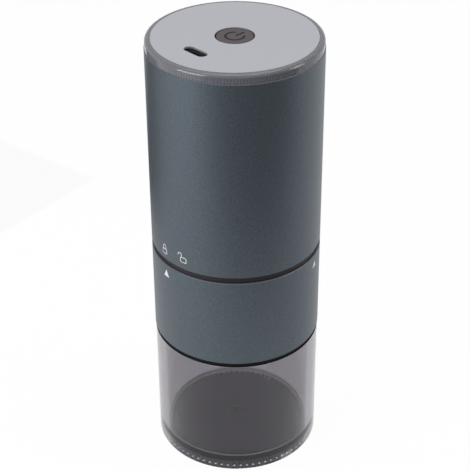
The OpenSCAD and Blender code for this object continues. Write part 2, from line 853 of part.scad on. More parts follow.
// Bayonet socket and the floor that carries the gearbox; each lug rises through an entry
// and turns along a channel that ends at a stop
module motor_base() {
    ledge_top = z_lug - lug_gap_z;
    half = lug_angle / 2 + stop_gap;
    color([0.16, 0.14, 0.14]) difference() {
        rotate_extrude() polygon([[base_hole_r, z_base_floor], [bayonet_r, z_base_floor],
            [bayonet_r, z_motor], [inner_r, z_motor], [inner_r, z_gearbox], [base_hole_r, z_gearbox]]);
        for (lug = lug_places()) {
            ring_part(bayonet_r - over, channel_r, ledge_top, z_lug + lug_h + channel_gap,
                lug - half, lug + lock_turn + half);
            ring_part(bayonet_r - over, channel_r + entry_deeper, z_motor - over, ledge_top + lap,
                lug + lock_turn - half - entry_spare, lug + lock_turn + half + entry_spare);
        }
        at_gearbox_screws(z_base_floor) screw_pocket(gearbox_screw_r);
        at_posts(z_base_floor) screw_pocket(screw_shank_r);
    }
}

// Countersink and hole through the base's floor
module screw_pocket(shank_r) {
    translate([0, 0, -over]) cylinder(r = screw_head_r + fit_gap, h = countersink + over);
    cylinder(r = shank_r + fit_gap, h = base_floor_t + over);
}

// The chassis stands on the base by its posts
module at_posts(z) {
    around(post_n, post_azimuth) translate([post_at_r, 0, z]) children();
}

module base_screws() {
    color([0.6, 0.6, 0.62]) at_posts(z_base_floor + countersink)
        mirror([0, 0, 1]) pan_screw(screw_head_r, screw_head_t, screw_shank_r, screw_l);
}

// ---------- gearbox ----------

// Points of one involute tooth flank, from the root circle out to the tip circle
function involute_angle(r, r_base) = r <= r_base ? 0
    : let (a = acos(r_base / r)) tan(a) * 180 / PI - a;

function flank_radii(r_root, r_tip, r_base) =
    let (first = max(r_root, r_base)) concat(r_root < r_base ? [r_root] : [],
        [for (i = [0:3]) first + (r_tip - first) * i / 3]);

// Outline of a gear; slack moves each flank into the tooth, and an inner gear's outline is its cut
function gear_outline(teeth, top, root, slack) =
    let (rp = gear_m * teeth / 2, r_base = rp * cos(pressure_angle), r_tip = rp + gear_m * top,
        r_root = rp - gear_m * root,
        half = 90 / teeth - slack / 2 / rp * 180 / PI + involute_angle(rp, r_base),
        radii = flank_radii(r_root, r_tip, r_base), n = len(radii) - 1)
    [for (i = [0:teeth - 1], s = [-1, 1], k = [0:n])
        let (r = radii[s < 0 ? k : n - k], a = 360 / teeth * i + s * (half - involute_angle(r, r_base)))
        r * [cos(a), sin(a)]];

module gear(teeth, z0, w, bore_r) {
    translate([0, 0, z0]) difference() {
        linear_extrude(height = w) polygon(gear_outline(teeth, tooth_top, tooth_root, tooth_backlash));
        translate([0, 0, -over]) cylinder(r = bore_r, h = w + 2 * over);
    }
}

module at_gearbox_screws(z) {
    around(gearbox_screw_n, gearbox_screw_azimuth)
        translate([gearbox_r - gearbox_wall / 2, 0, z]) children();
}

// Ring gear for both stages, closed at the top by the motor's mounting wall
module gearbox_housing() {
    z0 = z_gearbox + gearbox_lid_t;
    color([0.55, 0.56, 0.58]) difference() {
        rod(gearbox_r, z0, z_motor_can);
        translate([0, 0, z0 - over]) linear_extrude(height = z_gearbox_roof - z0 + over)
            rotate(180 / ring_teeth)
            polygon(gear_outline(ring_teeth, tooth_root, tooth_top, -tooth_backlash));
        rod(motor_boss_r + fit_gap, z_gearbox_roof - over, z_motor_can + over);
        motor_screw_place() {
            cylinder(r1 = motor_screw_head_r + fit_gap, r2 = gearbox_screw_r + fit_gap,
                h = motor_screw_head_t);
            cylinder(r = gearbox_screw_r + fit_gap, h = gearbox_roof_t + over);
        }
        at_gearbox_screws(0)
            rod(gearbox_screw_r, z0 - over, z_base_floor + countersink + thin_screw_l + over);
    }
}

module gearbox_lid() {
    color([0.55, 0.56, 0.58]) difference() {
        rod(gearbox_r, z_gearbox, z_gearbox + gearbox_lid_t);
        rod(out_shaft_r + shaft_gap, z_gearbox - over, z_gearbox + gearbox_lid_t + over);
        at_gearbox_screws(z_gearbox - over)
            cylinder(r = gearbox_screw_r + fit_gap, h = gearbox_lid_t + 2 * over);
    }
}

module gearbox_screws() {
    color([0.6, 0.6, 0.62]) at_gearbox_screws(z_base_floor + countersink)
        mirror([0, 0, 1]) pan_screw(screw_head_r, screw_head_t, gearbox_screw_r, thin_screw_l);
}

// Countersunk screws through the gearbox roof into the motor's face
module motor_screws() {
    color([0.6, 0.6, 0.62]) motor_screw_place() difference() {
        union() {
            cylinder(r1 = motor_screw_head_r, r2 = gearbox_screw_r, h = motor_screw_head_t);
            cylinder(r = gearbox_screw_r, h = gearbox_roof_t + motor_screw_bite);
        }
        translate([0, 0, -over])
            cylinder(r = motor_screw_hex_r, h = motor_screw_hex_depth + over, $fn = 6);
    }
}

module motor_screw_place() {
    for (s = [0, 180]) rotate([0, 0, s]) translate([motor_screw_at_r, 0, z_gearbox_roof]) children();
}

// Three pins that stand in their carrier
module planet_pins(z_carrier, l) {
    for (i = [0:planet_n - 1]) rotate([0, 0, 360 / planet_n * i])
        translate([orbit_r, 0, z_carrier + pin_sink]) cylinder(d = planet_pin_d, h = l);
}

// Carrier plate of the output stage, in one piece with the output shaft
module output_carrier() {
    color([0.7, 0.7, 0.72]) difference() {
        union() {
            rod(carrier_r, z_out_carrier, z_out_carrier + carrier_t);
            rod(out_shaft_r, z_high_jaw_hub, z_out_carrier + lap);
        }
        planet_pins(z_out_carrier, carrier_t);
    }
}

module output_planet_pins() {
    color([0.8, 0.8, 0.82]) planet_pins(z_out_carrier, carrier_t - pin_sink + gear_gap + gear_w);
}

module middle_planet_pins() {
    color([0.8, 0.8, 0.82]) planet_pins(z_mid_carrier, carrier_t - pin_sink + gear_gap + gear_w);
}

module planet(index, z0) {
    color([0.85, 0.82, 0.7]) rotate([0, 0, 360 / planet_n * index]) translate([orbit_r, 0, 0])
        rotate([0, 0, 180 / planet_teeth]) gear(planet_teeth, z0, gear_w, planet_pin_d / 2 + shaft_gap);
}

// Carrier plate of the motor's stage, in one piece with the output stage's sun gear
module middle_carrier() {
    color([0.7, 0.7, 0.72]) difference() {
        union() {
            rod(carrier_r, z_mid_carrier, z_mid_carrier + carrier_t);
            gear(sun_teeth, z_out_gears, z_mid_carrier - z_out_gears + lap, sun_core_r);
        }
        planet_pins(z_mid_carrier, carrier_t);
    }
}

module upper_jaw() {
    z0 = z_high_jaw_hub;
    color([0.2, 0.2, 0.2]) difference() {
        union() {
            rod(jaw_r + jaw_rim, z0, z0 + high_hub_t);
            jaw_ring(z0 - jaw_h, z0 + lap, lug_azimuth + 180 / jaw_n);
        }
        rod(out_shaft_r, z0 - over, z0 + high_hub_t + over);
    }
}

// ---------- motor, cells and chassis ----------

module motor_can() {
    color([0.72, 0.73, 0.75]) difference() {
        union() {
            rod(motor_r, z_motor_can, z_motor_cap);
            rod(motor_boss_r, z_motor_can - motor_boss_h, z_motor_can + lap);
        }
        rod(motor_shaft_d / 2 + shaft_gap, z_motor_can - motor_boss_h - over, z_motor_cap + over);
        motor_screw_place() cylinder(r = gearbox_screw_r, h = gearbox_roof_t + motor_screw_bite + lap);
        for (s = [-1, 1]) translate([0, s * motor_r, z_motor_can + motor_vent_up])
            cube(motor_vent, center = true);
    }
}

module motor_end_cap() {
    color([0.12, 0.12, 0.13]) difference() {
        union() {
            rod(motor_r - motor_cap_step, z_motor_cap, z_motor_cap + motor_cap_t);
            rod(motor_bearing_r, z_motor_cap, z_motor_cap + motor_cap_t + motor_bearing_h);
        }
        rod(motor_shaft_d / 2 + shaft_gap, z_motor_cap - over,
            z_motor_cap + motor_cap_t + motor_bearing_h / 2);
        motor_terminal_blanks(fit_gap);
    }
}

module motor_terminal_blanks(grow) {
    for (s = [-1, 1]) translate([0, s * terminal_out, z_motor_cap + terminal_up - grow])
        linear_extrude(height = terminal_l) square(terminal + 2 * grow * [1, 1], center = true);
}

module motor_terminals() {
    color([0.8, 0.66, 0.35]) motor_terminal_blanks(0);
}

module motor_shaft() {
    color([0.75, 0.76, 0.78]) rod(motor_shaft_d / 2, z_mid_gears, z_motor_cap + motor_cap_t);
}

module motor_pinion() {
    color([0.8, 0.66, 0.35]) gear(sun_teeth, z_mid_gears, gear_w, motor_shaft_d / 2);
}

// Slots at the front and the back that let the wires pass through a plate
module wire_slots(z, t) {
    for (s = [0, 1]) rotate([0, 0, 180 * s + 90]) translate([inner_r - wire_slot_in, 0, z - over])
        linear_extrude(height = t + 2 * over) stadium(wire_slot_l, wire_slot_w);
}

// Posts, web and cell cradles in one moulding
module chassis() {
    color([0.25, 0.25, 0.26]) difference() {
        union() {
            rod(chassis_r, z_motor_can, z_cells);
            intersection() {
                rod(chassis_r, z_cells - lap, z_cells + cradle_h);
                for (s = [0, 1]) rotate([0, 0, 180 * s]) translate([cell_x, 0, 0])
                    rotate([0, 0, -cradle_span / 2]) rotate_extrude(angle = cradle_span)
                    translate([cell_r + fit_gap, z_cells - over]) square([cradle_wall, cradle_h + over]);
            }
            at_posts(0) rod(post_r, z_gearbox, z_board);
        }
        rod(motor_r + fit_gap, z_motor_can - over, z_cells + cradle_h + over);
        wire_slots(z_motor_can, chassis_plate_t);
        link_blank(fit_gap, link_end_turn, strip_t + over);
        at_posts(0) {
            rod(screw_shank_r, z_gearbox - over, z_base_floor + countersink + screw_l + lap);
            rod(screw_shank_r, z_board_top - screw_l - lap, z_board + over);
        }
    }
}

// Band under the two cells that runs round the front of the motor
module link_blank(grow, turn, t) {
    rotate([0, 0, 180 - turn]) rotate_extrude(angle = 180 + 2 * turn)
        translate([motor_r + link_in - grow, z_cells - strip_t]) square([link_w + 2 * grow, t]);
}

module cell_link() {
    color([0.75, 0.74, 0.7]) link_blank(0, 0, strip_t);
}

// Bent strips from the cells' poles through windows in the clip to the board: each is cut to
// one length, and what its rise to the board leaves lies on the pole
module cell_tabs() {
    color([0.75, 0.74, 0.7]) for (s = [0, 1]) rotate([0, 0, 180 * s])
        translate([cell_x - tab_foot_l / 2, -tab_w / 2, z_cells_top]) union() {
            cube([tab_foot_l, tab_w, strip_t]);
            cube([strip_t, tab_w, z_board - z_cells_top]);
        }
}

module motor_straps() {
    z0 = z_motor_cap + motor_cap_t + run_gap;
    color([0.75, 0.74, 0.7]) for (s = [0, 1]) rotate([0, 0, 180 * s])
        translate([-terminal[0] / 2, terminal_out - terminal[1] / 2 - strip_t, z0])
        cube([terminal[0], strip_t, z_board - z0]);
}

module battery_cells() {
    color([0.2, 0.42, 0.62]) for (s = [-1, 1]) translate([s * cell_x, 0, 0]) difference() {
        rod(cell_r, z_cells, z_cells_top);
        tube(cell_r - cell_groove_w, cell_button_r, z_cells_top - cell_groove_depth, z_cells_top + over);
    }
}

// Plate over the cells and the motor, held between the posts
module cell_clip() {
    color([0.25, 0.25, 0.26]) difference() {
        union() {
            rod(inner_r - clip_edge_gap, z_cells_top, z_cells_top + clip_t);
            at_posts(0) rod(post_r + clip_boss_wall, z_cells_top, z_board);
        }
        rod(motor_r - clip_hole_edge, z_cells_top - over, z_cells_top + clip_t + over);
        for (s = [0, 1]) rotate([0, 0, 180 * s])
            translate([cell_x - tab_foot_l / 2 - run_gap, -tab_w / 2 - run_gap, z_cells_top - over])
            cube([tab_foot_l + 2 * run_gap, tab_w + 2 * run_gap, clip_t + 2 * over]);
        at_posts(0) rod(post_r + fit_gap, z_cells_top - over, z_board + over);
        wire_slots(z_cells_top, clip_t);
    }
}

// ---------- controls and top ----------

module place_slot() {
    face_azimuth(slot_azimuth) translate([slot_r, 0, 0]) rotate([0, 0, 90]) children();
}

module control_board() {
    color([0.08, 0.3, 0.2]) difference() {
        rod(board_r, z_board, z_board_top);
        at_posts(0) rod(screw_shank_r + fit_gap, z_board - over, z_board_top + over);
    }
}

module board_screws() {
    color([0.6, 0.6, 0.62]) at_posts(z_board_top)
        pan_screw(board_screw_head_r, board_screw_head_t, screw_shank_r, screw_l);
}

module charging_socket() {
    z1 = z_plate_top - port_sink;
    color([0.75, 0.76, 0.78]) place_slot() difference() {
        translate([0, 0, z_board_top]) linear_extrude(height = z1 - z_board_top)
            stadium(port_l, port_w);
        translate([0, 0, z1 - port_depth]) linear_extrude(height = port_depth + over)
            stadium(port_l - 2 * port_wall, port_w - 2 * port_wall);
    }
}

module socket_tongue() {
    z1 = z_plate_top - port_sink;
    color([0.1, 0.1, 0.1]) place_slot() translate([-tongue_l / 2, -tongue_t / 2, z1 - port_depth])
        cube([tongue_l, tongue_t, tongue_h]);
}

module tact_switch() {
    color([0.12, 0.12, 0.13]) difference() {
        translate([-switch_w / 2, -switch_w / 2, z_board_top]) cube([switch_w, switch_w, switch_h]);
        rod(stem_r + run_gap / 2, z_board_top + switch_floor, z_board_top + switch_h + over);
    }
}

module switch_stem() {
    color([0.85, 0.85, 0.83]) rod(stem_r, z_board_top + switch_floor + button_travel + stem_spare,
        z_stem_top);
}

module status_leds() {
    color([0.95, 0.95, 0.9]) around(led_n, 180 / led_n)
        translate([board_r - led_in, 0, z_board_top + led_size[2] / 2])
        cube([led_size[1], led_size[0], led_size[2]], center = true);
}

// Clear ring with a round top edge, a fluted shelf for the plate and a spigot into the sleeve
module light_ring() {
    e = light_ring_edge_r;
    in_r = shelf_r - lap;
    color([0.6, 0.6, 0.63, 0.6]) difference() {
        rotate_extrude() union() {
            difference() {
                union() {
                    translate([in_r, z_motor_top]) square([light_ring_r - in_r, light_ring_h - e]);
                    translate([in_r, z_motor_top]) square([light_ring_r - in_r - e, light_ring_h]);
                    translate([light_ring_r - e, z_ring_top - e]) circle(r = e);
                }
                translate([0, z_plate]) square([plate_r + fit_gap / 2, light_ring_h]);
            }
            translate([inner_r - ring_spigot_wall, z_motor_top - ring_spigot_l])
                square([ring_spigot_wall, ring_spigot_l + lap]);
        }
        translate([0, 0, z_motor_top - over]) linear_extrude(height = z_plate - z_motor_top + 2 * over)
            polygon(tooth_row(ring_flutes, shelf_r + flute_depth, shelf_r, flute_share));
    }
}

// Inner top: guides the button, frames the socket, and stands on the board
module top_frame() {
    guide_r = button_r + button_flange_w + run_gap;
    color([0.1, 0.1, 0.11]) difference() {
        union() {
            rod(top_frame_r, z_motor_top, z_plate);
            tube(guide_r + guide_wall, guide_r, z_button_flange - button_travel - guide_under,
                z_motor_top + lap);
            around(frame_leg_n) translate([top_frame_r - frame_leg_in, 0, 0])
                rod(frame_leg_r, z_board_top, z_motor_top + lap);
        }
        rod(button_r + button_gap, z_motor_top - over, z_plate + over);
        place_slot() {
            translate([0, 0, z_motor_top - over])
                linear_extrude(height = z_plate - z_motor_top + 2 * over)
                stadium(port_l + 2 * fit_gap, port_w + 2 * fit_gap);
            translate([0, 0, z_plate_top - port_sink]) linear_extrude(height = over + port_sink)
                stadium(slot_l, slot_w);
        }
    }
}

module top_plate() {
    color([0.7, 0.71, 0.74]) difference() {
        rod(plate_r, z_plate, z_plate_top);
        rod(button_r + button_gap, z_plate - over, z_plate_top + over);
        place_slot() translate([0, 0, z_plate - over]) linear_extrude(height = top_plate_t + 2 * over)
            stadium(slot_l, slot_w);
    }
}

// Cap with a round edge, a flange under the frame and a foot on the switch
module power_button() {
    e = button_edge_r;
    color([0.33, 0.3, 0.31]) union() {
        rotate_extrude() union() {
            translate([0, z_button_flange]) square([button_r, z_button_top - z_button_flange - e]);
            translate([0, z_button_flange]) square([button_r - e, z_button_top - z_button_flange]);
            translate([button_r - e, z_button_top - e]) circle(r = e, $fn = 32);
            translate([0, z_button_flange]) square([button_r + button_flange_w, button_flange_t]);
        }
        rod(stem_r + stem_foot_wall, z_stem_top, z_button_flange + lap);
    }
}

// ---------- nodes ----------

powder_cup();
foot_pad();
mill_sleeve();
mill_frame();
mill_collar();
collar_screws();
hopper_funnel();
bearing_bridge();
bearing_bush();
ring_burr();
cup_seal();
neck_gasket();
drive_shaft();
thrust_washer();
burr_spring();
lower_jaw();
shaft_screw();
cone_burr();
grind_dial();
dial_insert();
motor_sleeve();
motor_base();
base_screws();
gearbox_housing();
gearbox_lid();
gearbox_screws();
motor_screws();
output_carrier();
output_planet_pins();
planet(0, z_out_gears);  // output_planet_1
planet(1, z_out_gears);  // output_planet_2
planet(2, z_out_gears);  // output_planet_3
upper_jaw();
middle_carrier();
middle_planet_pins();
planet(0, z_mid_gears);  // middle_planet_1
planet(1, z_mid_gears);  // middle_planet_2
planet(2, z_mid_gears);  // middle_planet_3
motor_can();
motor_end_cap();
motor_terminals();
motor_straps();
motor_shaft();
motor_pinion();
chassis();
battery_cells();
cell_link();
cell_tabs();
cell_clip();
control_board();
board_screws();
charging_socket();
socket_tongue();
tact_switch();
switch_stem();
status_leds();
light_ring();
top_frame();
top_plate();
power_button();
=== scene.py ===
import bpy
from math import radians, sin, cos
from mathutils import Vector, Matrix


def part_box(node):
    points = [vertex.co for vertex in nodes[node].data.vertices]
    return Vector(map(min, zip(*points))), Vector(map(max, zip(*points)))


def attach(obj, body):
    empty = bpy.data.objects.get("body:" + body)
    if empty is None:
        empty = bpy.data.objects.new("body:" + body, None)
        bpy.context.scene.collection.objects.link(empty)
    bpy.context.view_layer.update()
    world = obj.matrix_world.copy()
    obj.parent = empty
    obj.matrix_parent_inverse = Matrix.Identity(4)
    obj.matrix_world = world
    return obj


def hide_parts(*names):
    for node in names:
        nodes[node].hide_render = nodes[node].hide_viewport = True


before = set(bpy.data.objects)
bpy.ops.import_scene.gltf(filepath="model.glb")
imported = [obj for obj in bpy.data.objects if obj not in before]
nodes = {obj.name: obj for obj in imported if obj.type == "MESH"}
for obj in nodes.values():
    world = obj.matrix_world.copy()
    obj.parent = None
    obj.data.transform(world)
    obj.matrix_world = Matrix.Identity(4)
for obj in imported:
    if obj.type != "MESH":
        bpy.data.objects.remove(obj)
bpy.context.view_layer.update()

# ---- Foot pad ----
# The pad is a disc of soft rubber with grip teeth round its edge and short ribs on the upper
# face, pressed into the recess under the cup. A thin film of air is left between the two faces,
# so that the rubber shows through the clear floor.


def plain_finish(name, colour, rough, metal=0.0):
    """A material with one Principled shader; returns it, its node tree and the shader."""
    made = bpy.data.materials.new(name)
    made.use_nodes = True
    tree = made.node_tree
    shader = tree.nodes["Principled BSDF"]
    shader.inputs["Base Color"].default_value = (*colour, 1.0)
    shader.inputs["Roughness"].default_value = rough
    shader.inputs["Metallic"].default_value = metal
    return made, tree, shader


def surface_noise(tree, size, detail=3.0, stretch=(1, 1, 1)):
    """Noise in the part's own space with grains of the given size in metres."""
    place = tree.nodes.new("ShaderNodeTexCoord")
    fit = tree.nodes.new("ShaderNodeMapping")
    fit.inputs["Scale"].default_value = stretch
    tree.links.new(place.outputs["Object"], fit.inputs["Vector"])
    noise = tree.nodes.new("ShaderNodeTexNoise")
    noise.inputs["Scale"].default_value = 1.0 / size
    noise.inputs["Detail"].default_value = detail
    tree.links.new(fit.outputs["Vector"], noise.inputs["Vector"])
    return noise.outputs["Fac"]


def grain(tree, shader, noise, height, strength=0.5):
    """Surface relief of the given height in metres."""
    bump = tree.nodes.new("ShaderNodeBump")
    bump.inputs["Distance"].default_value = height
    bump.inputs["Strength"].default_value = strength
    tree.links.new(noise, bump.inputs["Height"])
    tree.links.new(bump.outputs["Normal"], shader.inputs["Normal"])


def wear(piece_names, made):
    """Gives each named piece the finish in every material slot."""
    for name in piece_names:
        for slot in nodes[name].material_slots:
            slot.material = made


def share_between(tree, value, low, high):
    """0 to 1 as a value goes from low to high."""
    span = tree.nodes.new("ShaderNodeMapRange")
    span.inputs["From Min"].default_value = low
    span.inputs["From Max"].default_value = high
    tree.links.new(value, span.inputs["Value"])
    return span.outputs["Result"]


def height_share(tree, low, high):
    """0 to 1 between two heights of the part."""
    place = tree.nodes.new("ShaderNodeTexCoord")
    split = tree.nodes.new("ShaderNodeSeparateXYZ")
    tree.links.new(place.outputs["Object"], split.inputs[0])
    return share_between(tree, split.outputs["Z"], low, high)


def radius_share(tree, inner, outer):
    """0 to 1 between two distances from the axis of the part."""
    place = tree.nodes.new("ShaderNodeTexCoord")
    level = tree.nodes.new("ShaderNodeVectorMath")
    level.operation = "MULTIPLY"
    level.inputs[1].default_value = (1, 1, 0)
    tree.links.new(place.outputs["Object"], level.inputs[0])
    reach = tree.nodes.new("ShaderNodeVectorMath")
    reach.operation = "LENGTH"
    tree.links.new(level.outputs["Vector"], reach.inputs[0])
    return share_between(tree, reach.outputs["Value"], inner, outer)


def tones(tree, colour, stops, driver):
    """One colour in steps of lightness along a driver; the stops run from 0 to 1."""
    ramp = tree.nodes.new("ShaderNodeValToRGB")
    for spot, tone in stops:
        stop = ramp.color_ramp.elements.new(spot) if 0.0 < spot < 1.0 else (
            ramp.color_ramp.elements[0 if spot == 0.0 else -1])
        stop.color = (*[min(1.0, c * tone) for c in colour], 1.0)
    tree.links.new(driver, ramp.inputs["Fac"])
    return ramp.outputs["Color"]


def mixed(tree, share, first, second, kind="RGBA"):
    """From first to second as the share goes from 0 to 1; each is a socket or a plain value."""
    mix = tree.nodes.new("ShaderNodeMix")
    mix.data_type = kind
    tree.links.new(share, mix.inputs["Factor"])
    for side, given in (("A", first), ("B", second)):
        if isinstance(given, bpy.types.NodeSocket):
            tree.links.new(given, mix.inputs[side])
        else:
            mix.inputs[side].default_value = given
    return mix.outputs["Result"]


def placed(name, data):
    """A new object for a mesh, lamp or camera, in the scene."""
    thing = bpy.data.objects.new(name, data)
    bpy.context.scene.collection.objects.link(thing)
    return thing


rubber_grey = (0.121, 0.095, 0.158)
rib_h, rim_from, rim_to = 0.0008, 0.027, 0.029
# Painted shade: the grooves between the ribs and the pad's sides below them are darker than the
# rubber, and so are the rib tops round the rim, while the rib tops in the middle keep the rubber's
# own colour.
foot_shade_tone, shade_tone, face_tone = 0.45, 0.1, 1.0
shaded_pad_rubber, tree, shader = plain_finish("shaded_pad_rubber", rubber_grey, rough=0.8)
pad_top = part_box("foot_pad")[1].z
up = height_share(tree, pad_top - 1.5 * rib_h, pad_top)
groove = ((0.0, foot_shade_tone), (0.2, foot_shade_tone), (0.3, shade_tone), (0.55, shade_tone))
middle = tones(tree, rubber_grey, groove + ((0.8, face_tone), (1.0, face_tone)), up)
edge = tones(tree, rubber_grey, groove + ((0.8, shade_tone), (1.0, shade_tone)), up)
painted_pad_shade = mixed(tree, radius_share(tree, rim_from, rim_to), middle, edge)
tree.links.new(painted_pad_shade, shader.inputs["Base Color"])
grain(tree, shader, surface_noise(tree, size=0.0006), height=0.00001, strength=0.3)
wear(["foot_pad"], shaded_pad_rubber)
air_film = 0.00005
pad_mesh = nodes["foot_pad"].data.copy()
for point in pad_mesh.vertices:
    if point.co.z > pad_top - air_film:
        point.co.z -= air_film
grip_pad = placed("grip_pad", pad_mesh)
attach(grip_pad, "cup")
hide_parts("foot_pad")

# ---- Powder cup ----
# The cup is one injection moulding in clear plastic with a smoke tint, polished except for the
# round corner of its floor and the edge of the gate mark. Its wall steps in to a thin neck,
# which carries the seal ring and pushes up into the mill.


def gloss_range(tree, shader, noise, low, high):
    """Roughness that wanders between two values, as handling and moulding leave it."""
    span = tree.nodes.new("ShaderNodeMapRange")
    span.inputs["To Min"].default_value = low
    span.inputs["To Max"].default_value = high
    tree.links.new(noise, span.inputs["Value"])
    tree.links.new(span.outputs["Result"], shader.inputs["Roughness"])
    return span.outputs["Result"]


def joined(tree, how, outputs):
    """One value from several, multiplied or added up."""
    total = outputs[0]
    for output in outputs[1:]:
        step = tree.nodes.new("ShaderNodeMath")
        step.operation = how
        step.use_clamp = True
        tree.links.new(total, step.inputs[0])
        tree.links.new(output, step.inputs[1])
        total = step.outputs["Value"]
    return total


smoke = (0.578, 0.560, 0.594)
cup_plastic, tree, shader = plain_finish("cup_plastic", smoke, rough=0.015)
shader.inputs["Transmission Weight"].default_value = 1.0
shader.inputs["IOR"].default_value = 1.49
polish = gloss_range(tree, shader, surface_noise(tree, size=0.02), low=0.01, high=0.05)
floor_t, bowl_r, corner_r, face_depth = 0.0022, 0.031, 0.0015, 0.0004
floor_top = pad_top + floor_t
corner = joined(tree, "MULTIPLY", [
    height_share(tree, floor_top + corner_r, floor_top + 0.7 * corner_r),
    height_share(tree, floor_top - face_depth, floor_top - face_depth / 2),
    radius_share(tree, bowl_r - corner_r, bowl_r - 0.7 * corner_r),
    radius_share(tree, bowl_r + face_depth, bowl_r + face_depth / 2)])
gate_r, gate_edge = 0.0029, 0.0005
gate = joined(tree, "MULTIPLY", [
    height_share(tree, floor_top - 2 * face_depth, floor_top - 1.5 * face_depth),
    radius_share(tree, gate_r - gate_edge, gate_r - gate_edge / 2),
    radius_share(tree, gate_r + gate_edge, gate_r + gate_edge / 2)])
# The floor's round corner and the gate mark's edge are rougher, which is real, and their smoke
# tint is darkened to about a third, which is painted shade.
dull_shaded_spots = joined(tree, "ADD", [corner, gate])
spot_rough, spot_shade_tint = 0.55, 0.35
dulled = mixed(tree, dull_shaded_spots, polish, spot_rough, kind="FLOAT")
tree.links.new(dulled, shader.inputs["Roughness"])
painted_spot_shade = mixed(tree, dull_shaded_spots, (*smoke, 1.0), (*[c * spot_shade_tint for c in smoke], 1.0))
tree.links.new(painted_spot_shade, shader.inputs["Base Color"])
smoke_depth = (0.09, 0.07, 0.13)
smoke_body = tree.nodes.new("ShaderNodeVolumeAbsorption")
smoke_body.inputs["Color"].default_value = (*smoke_depth, 1.0)
smoke_body.inputs["Density"].default_value = 75.0
surface_and_body = tree.nodes["Material Output"]
tree.links.new(smoke_body.outputs["Volume"], surface_and_body.inputs["Volume"])
lamp_tint = (0.88, 0.87, 0.89)
lamp_film = tree.nodes.new("ShaderNodeBsdfTransparent")
lamp_film.inputs["Color"].default_value = (*lamp_tint, 1.0)
ray = tree.nodes.new("ShaderNodeLightPath")
pass_on = tree.nodes.new("ShaderNodeMixShader")
tree.links.new(ray.outputs["Is Shadow Ray"], pass_on.inputs["Fac"])
tree.links.new(shader.outputs["BSDF"], pass_on.inputs[1])
tree.links.new(lamp_film.outputs["BSDF"], pass_on.inputs[2])
tree.links.new(pass_on.outputs["Shader"], surface_and_body.inputs["Surface"])
wear(["powder_cup"], cup_plastic)

# ---- Mill frame and collar ----
# Two glass-filled nylon mouldings, near black with a fine spark-eroded texture. The frame holds
# the ring burr over a socket for the cup's neck, and the collar with the lugs is screwed on.


def mottle(tree, shader, noise, colour, spread):
    """Base colour that drifts by the spread between a darker and a lighter tone."""
    darker, lighter = 1 - spread, 1 + spread
    stops = ((0.0, darker), (0.3, darker), (0.7, lighter), (1.0, lighter))
    tree.links.new(tones(tree, colour, stops, noise), shader.inputs["Base Color"])


band_brown = (0.011, 0.007, 0.010)
band_plastic, tree, shader = plain_finish("band_plastic", band_brown, rough=0.55)
shader.inputs["Specular IOR Level"].default_value = 0.3
mottle(tree, shader, surface_noise(tree, size=0.006), band_brown, spread=0.12)
grain(tree, shader, surface_noise(tree, size=0.0003), height=0.00002)
wear(["mill_collar"], band_plastic)
frame_black = (0.004, 0.003, 0.004)
frame_plastic, tree, shader = plain_finish("frame_plastic", frame_black, rough=0.55)
shader.inputs["Specular IOR Level"].default_value = 0.15
mottle(tree, shader, surface_noise(tree, size=0.006), frame_black, spread=0.12)
grain(tree, shader, surface_noise(tree, size=0.0003), height=0.00002)
wear(["mill_frame"], frame_plastic)

# ---- Seals ----
# The cup's seal is a black nitrile ring in a groove of the cup's neck, and the grey silicone
# gasket on the collar's rim keeps the spice out of the motor section.
seal_black = (0.012, 0.012, 0.012)
seal_rubber, tree, shader = plain_finish("seal_rubber", seal_black, rough=0.5)
mottle(tree, shader, surface_noise(tree, size=0.003), seal_black, spread=0.2)
wear(["cup_seal"], seal_rubber)
silicone_grey = (0.16, 0.16, 0.165)
silicone, tree, shader = plain_finish("silicone", silicone_grey, rough=0.55)
mottle(tree, shader, surface_noise(tree, size=0.003), silicone_grey, spread=0.08)
wear(["neck_gasket"], silicone)

# ---- Burrs ----
# Both burrs are hardened stainless steel, cast to shape with their teeth ground afterwards,
# which leaves fine marks round the axis. The ring is clamped, and the cone slides on the shaft.
burr_grey = (0.36, 0.365, 0.375)
burr_steel, tree, shader = plain_finish("burr_steel", burr_grey, rough=0.3, metal=1.0)
ground = surface_noise(tree, size=0.0012, stretch=(1, 1, 9))
mottle(tree, shader, ground, burr_grey, spread=0.12)
gloss_range(tree, shader, ground, low=0.22, high=0.42)
grain(tree, shader, ground, height=0.00002)
wear(["ring_burr", "cone_burr"], burr_steel)

# ---- Grind dial ----
# The dial is a knurled nylon knob moulded round a turned brass nut. It hangs under the cone
# burr on the shaft's thread, and turning it lets the cone down for a coarser grind.
dial_black = (0.022, 0.021, 0.022)
dial_plastic, tree, shader = plain_finish("dial_plastic", dial_black, rough=0.5)
mottle(tree, shader, surface_noise(tree, size=0.004), dial_black, spread=0.15)
grain(tree, shader, surface_noise(tree, size=0.0003), height=0.00002)
wear(["grind_dial"], dial_plastic)
brass_yellow = (0.60, 0.42, 0.15)
turned_brass, tree, shader = plain_finish("turned_brass", brass_yellow, rough=0.3, metal=1.0)
lathe = surface_noise(tree, size=0.0015, stretch=(1, 1, 12))
mottle(tree, shader, lathe, brass_yellow, spread=0.08)
gloss_range(tree, shader, lathe, low=0.2, high=0.38)
wear(["dial_insert"], turned_brass)

# ---- Drive shaft ----
# The shaft is turned from stainless bar with two milled flats, and carries a thrust washer and
# a coil spring of drawn wire that keeps the cone burr on the dial.
shaft_grey = (0.47, 0.475, 0.485)
turned_steel, tree, shader = plain_finish("turned_steel", shaft_grey, rough=0.25, metal=1.0)
lathe = surface_noise(tree, size=0.001, stretch=(1, 1, 14))
mottle(tree, shader, lathe, shaft_grey, spread=0.08)
gloss_range(tree, shader, lathe, low=0.16, high=0.34)
grain(tree, shader, lathe, height=0.00001)
wear(["drive_shaft", "thrust_washer", "burr_spring"], turned_steel)

